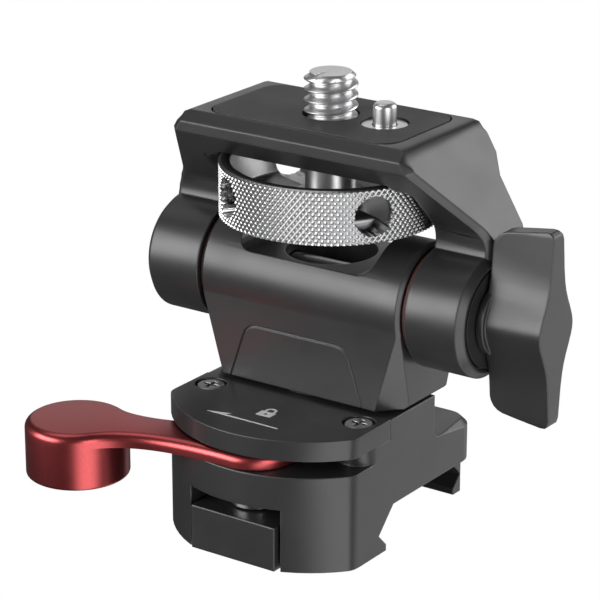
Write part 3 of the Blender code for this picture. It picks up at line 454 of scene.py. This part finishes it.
def fillet_prism(bm, outline, low, high, top_fillet, low_fillet, steps=7):
    """Closed prism over an outline, its upper and lower rims rolled over in fillets."""
    count = len(outline)
    turn = sum(outline[i - 1].cross(outline[i]) for i in range(count))
    side = 1 if turn > 0 else -1
    inward = []
    for i, point in enumerate(outline):
        before = (point - outline[i - 1]).normalized()
        after = (outline[(i + 1) % count] - point).normalized()
        normal = Vector((-before.y - after.y, before.x + after.x)).normalized() * side
        inward.append(normal / max(0.7, normal.dot(Vector((-after.y, after.x)) * side)))
    levels = []
    for rim, fillet, sign in ((high, top_fillet, -1), (low, low_fillet, 1)):
        for step in range(steps + 1):
            angle = math.radians(90) * step / steps if rim == low else math.radians(90) * (1 - step / steps)
            levels.append((fillet * (1 - math.cos(angle)), rim + sign * fillet * (1 - math.sin(angle))))
            if fillet == 0:
                break
    rings = [[bm.verts.new((*(point + way * shift), height)) for point, way in zip(outline, inward)]
             for shift, height in levels]
    for upper, lower in zip(rings, rings[1:]):
        for i in range(count):
            k = (i + 1) % count
            bm.faces.new((upper[i], upper[k], lower[k], lower[i]))
    bm.faces.new(rings[0])
    bm.faces.new(rings[-1])


def make_lever():
    """Arm and hub in one plate with a fully rounded upper rim, and the deep round paddle."""
    low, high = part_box("cam_lever")
    hub = Vector(JOINT["lever_swing"]["pos_m"]).xy
    paddle = Vector((low.x + PADDLE_RADIUS, low.y + PADDLE_RADIUS))
    hub_arc = arc_points(hub, HUB_RADIUS, 120, -90, 40)
    grip_arc = arc_points(paddle, PADDLE_RADIUS, -38, -292, 84)
    front = bend_points(hub_arc[-1], Vector((-9.5 * MM, hub_arc[-1].y)),
                        Vector((-13.9 * MM, -22.9 * MM)), grip_arc[0], 28)
    back = bend_points(grip_arc[-1], Vector((-15.3 * MM, -17.9 * MM)),
                       Vector((-8.2 * MM, -15.2 * MM)), hub_arc[0], 22)
    bm = bmesh.new()
    fillet_prism(bm, hub_arc + front + grip_arc + back, high.z - LEVER_THICK, high.z,
                 LEVER_TOP_FILLET, 0)
    fillet_prism(bm, grip_arc + arc_points(paddle, PADDLE_RADIUS, -292, -398, 35)[1:-1],
                 low.z, high.z - LEVER_THICK, 0, PADDLE_LOW_FILLET)
    lever = new_object("rounded_cam_lever", bm, [RED], "lever", 32)
    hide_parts("cam_lever")


# --- pin spring ---------------------------------------------------------------------------
def make_pin_spring(turns=8, around=20, sides=8):
    """Round wire wound on a helix."""
    low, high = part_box("pin_spring")
    centre = (low + high) / 2
    wire = 0.15 * MM
    radius = (high.x - low.x) / 2 - wire
    bm = bmesh.new()
    rings = []
    for i in range(turns * around + 1):
        angle = 2 * math.pi * i / around
        height = low.z + wire + (high.z - low.z - 2 * wire) * i / (turns * around)
        out = Vector((math.cos(angle), math.sin(angle), 0))
        middle = Vector((centre.x, centre.y, height)) + out * radius
        rings.append([bm.verts.new(middle + wire * (out * math.cos(a) + Vector((0, 0, math.sin(a)))))
                      for a in (2 * math.pi * k / sides for k in range(sides))])
    for first, second in zip(rings, rings[1:]):
        for k in range(sides):
            j = (k + 1) % sides
            bm.faces.new((first[k], first[j], second[j], second[k]))
    bm.faces.new(rings[0])
    bm.faces.new(rings[-1])
    spring = new_object("coiled_pin_spring", bm, [SPRING], "yoke", 50)
    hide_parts("pin_spring")
    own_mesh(spring)


# --- blank badge panel on the turret ------------------------------------------------------
def panel_groove(half_width=0.15 * MM, depth=0.16 * MM):
    """Hidden cutter: a V-shaped rib along the outline of the blank panel on the turret's front."""
    front = FRONT_WALL_Y
    path = [(-9.85, 11.0), (-7.95, 16.55), (-7.55, 17.45), (-6.95, 18.0), (-6.1, 18.25),
            (5.5, 18.25), (6.35, 18.0), (6.95, 17.45), (7.25, 16.6), (9.1, 11.0)]
    points = [Vector((x * MM, z * MM)) for x, z in path]
    bm = bmesh.new()
    sections = []
    for i, point in enumerate(points):
        before = (point - points[i - 1]).normalized() if i else (points[1] - point).normalized()
        after = (points[i + 1] - point).normalized() if i < len(points) - 1 else before
        along = (before + after).normalized()
        across = Vector((-along.y, along.x)) * half_width / max(0.5, along.dot(before))
        corners = ((point + across, front - 0.5 * MM), (point - across, front - 0.5 * MM),
                   (point - across, front - 0.01 * MM), (point, front + depth),
                   (point + across, front - 0.01 * MM))
        sections.append([bm.verts.new((co.x, y, co.y)) for co, y in corners])
    for first, second in zip(sections, sections[1:]):
        for i in range(5):
            k = (i + 1) % 5
            bm.faces.new((first[i], first[k], second[k], second[i]))
    bm.faces.new(sections[0])
    bm.faces.new(sections[-1])
    return hidden_cutter("panel_groove_cutter", bm)


# --- printed marks on the cover -----------------------------------------------------------
def flat_mark(name, outline, hole, top, centre):
    """A thin printed shape on the cover: an outline in millimetres, optionally with a hole."""
    curve = bpy.data.curves.new(name, "CURVE")
    curve.dimensions = "2D"
    curve.fill_mode = "BOTH"
    curve.extrude = PRINT_THICK
    for loop in [outline] + ([hole] if hole else []):
        spline = curve.splines.new("POLY")
        spline.points.add(len(loop) - 1)
        for point, (x, y) in zip(spline.points, loop):
            point.co = (x * MM, y * MM, 0, 1)
        spline.use_cyclic_u = True
    obj = bpy.data.objects.new(name, curve)
    bpy.context.scene.collection.objects.link(obj)
    obj.matrix_world = Matrix.Translation((centre[0] * MM, centre[1] * MM, top + PRINT_THICK))
    curve.materials.append(PRINT)
    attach(obj, "clamp")


def ring_points(centre, radius, start, end, steps):
    return [(centre[0] + radius * math.cos(math.radians(start + (end - start) * i / steps)),
             centre[1] + radius * math.sin(math.radians(start + (end - start) * i / steps)))
            for i in range(steps + 1)]


def make_marks():
    """A plain closed padlock over a plain arrow that points the way the lever locks."""
    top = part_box("lock_cover")[1].z
    arrow = [(-5.0, -0.1), (-2.0, 0.75), (-2.5, 0.16), (5.0, 0.12), (5.0, -0.12), (-2.5, -0.12)]
    flat_mark("arrow_mark", arrow, None, top, (-0.9, -16.9))
    body = [(-1.0, -0.8), (1.0, -0.8), (1.0, 0.55), (-1.0, 0.55)]
    keyhole = ring_points((0, -0.12), 0.24, 0, 350, 12)
    flat_mark("padlock_body_mark", body, keyhole, top, (0.4, -13.9))
    outer = [(0.72, 0.62)] + ring_points((0, 0.95), 0.72, 0, 180, 12) + [(-0.72, 0.62)]
    inner = [(-0.42, 0.62)] + ring_points((0, 0.95), 0.42, 180, 0, 12) + [(0.42, 0.62)]
    flat_mark("padlock_shackle_mark", outer + inner, None, top, (0.4, -13.9))


# --- finishes on the CAD nodes ------------------------------------------------------------
FINISHES = {
    "clamp_base": BLACK, "clamp_jaw": BLACK, "lock_cover": FINE_BLACK, "swivel_body": FINE_BLACK,
    "tilt_yoke": BLACK, "wing_knob": BLACK, "top_pad": RUBBER,
    "cover_screw_left": SPRING, "cover_screw_right": SPRING,
    "knob_washer": POLYMER, "tilt_axle": SPRING, "swivel_bolt": SPRING, "cam_shaft": SPRING,
    "swivel_washer": POLYMER, "jaw_spring_left": SPRING, "jaw_spring_right": SPRING,
    "spring_washer_lower": SPRING, "spring_washer_upper": SPRING, "screw_clip": SPRING,
    "tilt_washer_left": FIBRE, "tilt_washer_right": FIBRE,
}
for node_name, finish in FINISHES.items():
    groove = panel_groove() if node_name == "swivel_body" else None
    dress(node_name, finish, groove)

make_wheel()
make_screw()
make_pin()
make_lever()
make_pin_spring()
make_marks()


# --- studio -------------------------------------------------------------------------------
def make_floor():
    """Pale to the camera. Reflections see it darker, with one soft glow towards each of two sides."""
    base_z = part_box("clamp_base")[0].z
    bm = bmesh.new()
    bmesh.ops.create_grid(bm, x_segments=1, y_segments=1, size=4.0)
    bmesh.ops.translate(bm, vec=(0, 0, base_z - 0.02 * MM), verts=bm.verts)
    material = bpy.data.materials.new("floor")
    material.use_nodes = True
    tree = material.node_tree
    shader = tree.nodes["Principled BSDF"]
    shader.inputs["Base Color"].default_value = (0.12, 0.12, 0.12, 1)
    shader.inputs["Roughness"].default_value = 0.9
    shader.inputs["Emission Color"].default_value = (1, 1, 1, 1)
    ray = add_node(tree, "ShaderNodeNewGeometry")
    level = add_node(tree, "ShaderNodeVectorMath", {1: (-1, -1, 0)}, operation="MULTIPLY")
    heading = add_node(tree, "ShaderNodeVectorMath", operation="NORMALIZE")
    tree.links.new(ray.outputs["Incoming"], level.inputs[0])
    tree.links.new(level.outputs["Vector"], heading.inputs[0])
    glow = None
    for direction, strength, start in (((0.86, -0.51, 0), 2.4, 0.84), ((0.57, 0.82, 0), 0.8, 0.6)):
        toward = add_node(tree, "ShaderNodeVectorMath", {1: direction}, operation="DOT_PRODUCT")
        ramp = add_node(tree, "ShaderNodeMapRange", {"From Min": start, "From Max": 1.0,
                                                     "To Min": 0.0, "To Max": strength},
                        interpolation_type="SMOOTHSTEP")
        tree.links.new(heading.outputs["Vector"], toward.inputs[0])
        tree.links.new(toward.outputs["Value"], ramp.inputs["Value"])
        if glow:
            total = add_node(tree, "ShaderNodeMath", operation="ADD")
            tree.links.new(glow, total.inputs[0])
            tree.links.new(ramp.outputs["Result"], total.inputs[1])
            glow = total.outputs["Value"]
        else:
            glow = ramp.outputs["Result"]
    tree.links.new(glow, shader.inputs["Emission Strength"])
    pale = add_node(tree, "ShaderNodeEmission", {"Color": (1, 1, 1, 1), "Strength": 1.05})
    path = add_node(tree, "ShaderNodeLightPath")
    mix = add_node(tree, "ShaderNodeMixShader")
    share = add_node(tree, "ShaderNodeMath", {1: 0.95}, operation="MULTIPLY")
    tree.links.new(path.outputs["Is Camera Ray"], share.inputs[0])
    tree.links.new(share.outputs["Value"], mix.inputs["Fac"])
    tree.links.new(shader.outputs["BSDF"], mix.inputs[1])
    tree.links.new(pale.outputs["Emission"], mix.inputs[2])
    tree.links.new(mix.outputs["Shader"], tree.nodes["Material Output"].inputs["Surface"])
    floor = new_object("floor", bm, [material])


def soft_light(name, direction, distance, size, power, target=(0, 0, 0.02)):
    """Softbox in a direction from the object, facing it. size is its width and height."""
    data = bpy.data.lights.new(name, "AREA")
    data.shape = "RECTANGLE"
    data.size, data.size_y = size
    data.energy = power
    lamp = bpy.data.objects.new(name, data)
    bpy.context.scene.collection.objects.link(lamp)
    toward = Vector(direction).normalized()
    lamp.location = Vector(target) + toward * distance
    lamp.rotation_euler = toward.to_track_quat("Z", "Y").to_euler()
    return lamp


def make_world():
    world = bpy.data.worlds.new("studio")
    bpy.context.scene.world = world
    world.use_nodes = True
    tree = world.node_tree
    background = tree.nodes["Background"]
    path = add_node(tree, "ShaderNodeLightPath")
    mix = add_node(tree, "ShaderNodeMixRGB", {"Color1": (0.11, 0.11, 0.11, 1), "Color2": (1, 1, 1, 1)})
    tree.links.new(path.outputs["Is Camera Ray"], mix.inputs["Fac"])
    tree.links.new(mix.outputs["Color"], background.inputs["Color"])
    background.inputs["Strength"].default_value = 1.0


def make_camera():
    data = bpy.data.cameras.new("camera")
    data.sensor_width = 36
    data.lens = 160.85
    data.clip_start = 0.01
    camera = bpy.data.objects.new("camera", data)
    bpy.context.scene.collection.objects.link(camera)
    azimuth = math.radians(34.98)
    elevation = math.radians(19.69)
    back = Vector((math.sin(azimuth) * math.cos(elevation), -math.cos(azimuth) * math.cos(elevation),
                   math.sin(elevation)))
    right = Vector((math.cos(azimuth), math.sin(azimuth), 0))
    up = back.cross(right)
    camera.matrix_world = (Matrix.Translation((168.57 * MM, -247.47 * MM, 127.87 * MM))
                           @ Matrix((right, up, back)).transposed().to_4x4())
    bpy.context.scene.camera = camera


make_floor()
make_world()
make_camera()
soft_light("key_front_left", (-0.54, -0.80, 0.26), 0.75, (0.70, 0.42), 6.0)
soft_light("overhead", (-0.35, 0.05, 0.95), 0.7, (0.5, 0.4), 0.7)
soft_light("back_left", (-0.54, 0.77, 0.34), 0.75, (0.55, 0.42), 0.5)
soft_light("right_back", (0.58, 0.76, 0.34), 0.6, (0.5, 0.4), 2.0)
soft_light("right_front", (0.86, -0.46, 0.20), 0.7, (0.30, 0.30), 1.2)

bpy.context.scene.view_settings.view_transform = "Standard"
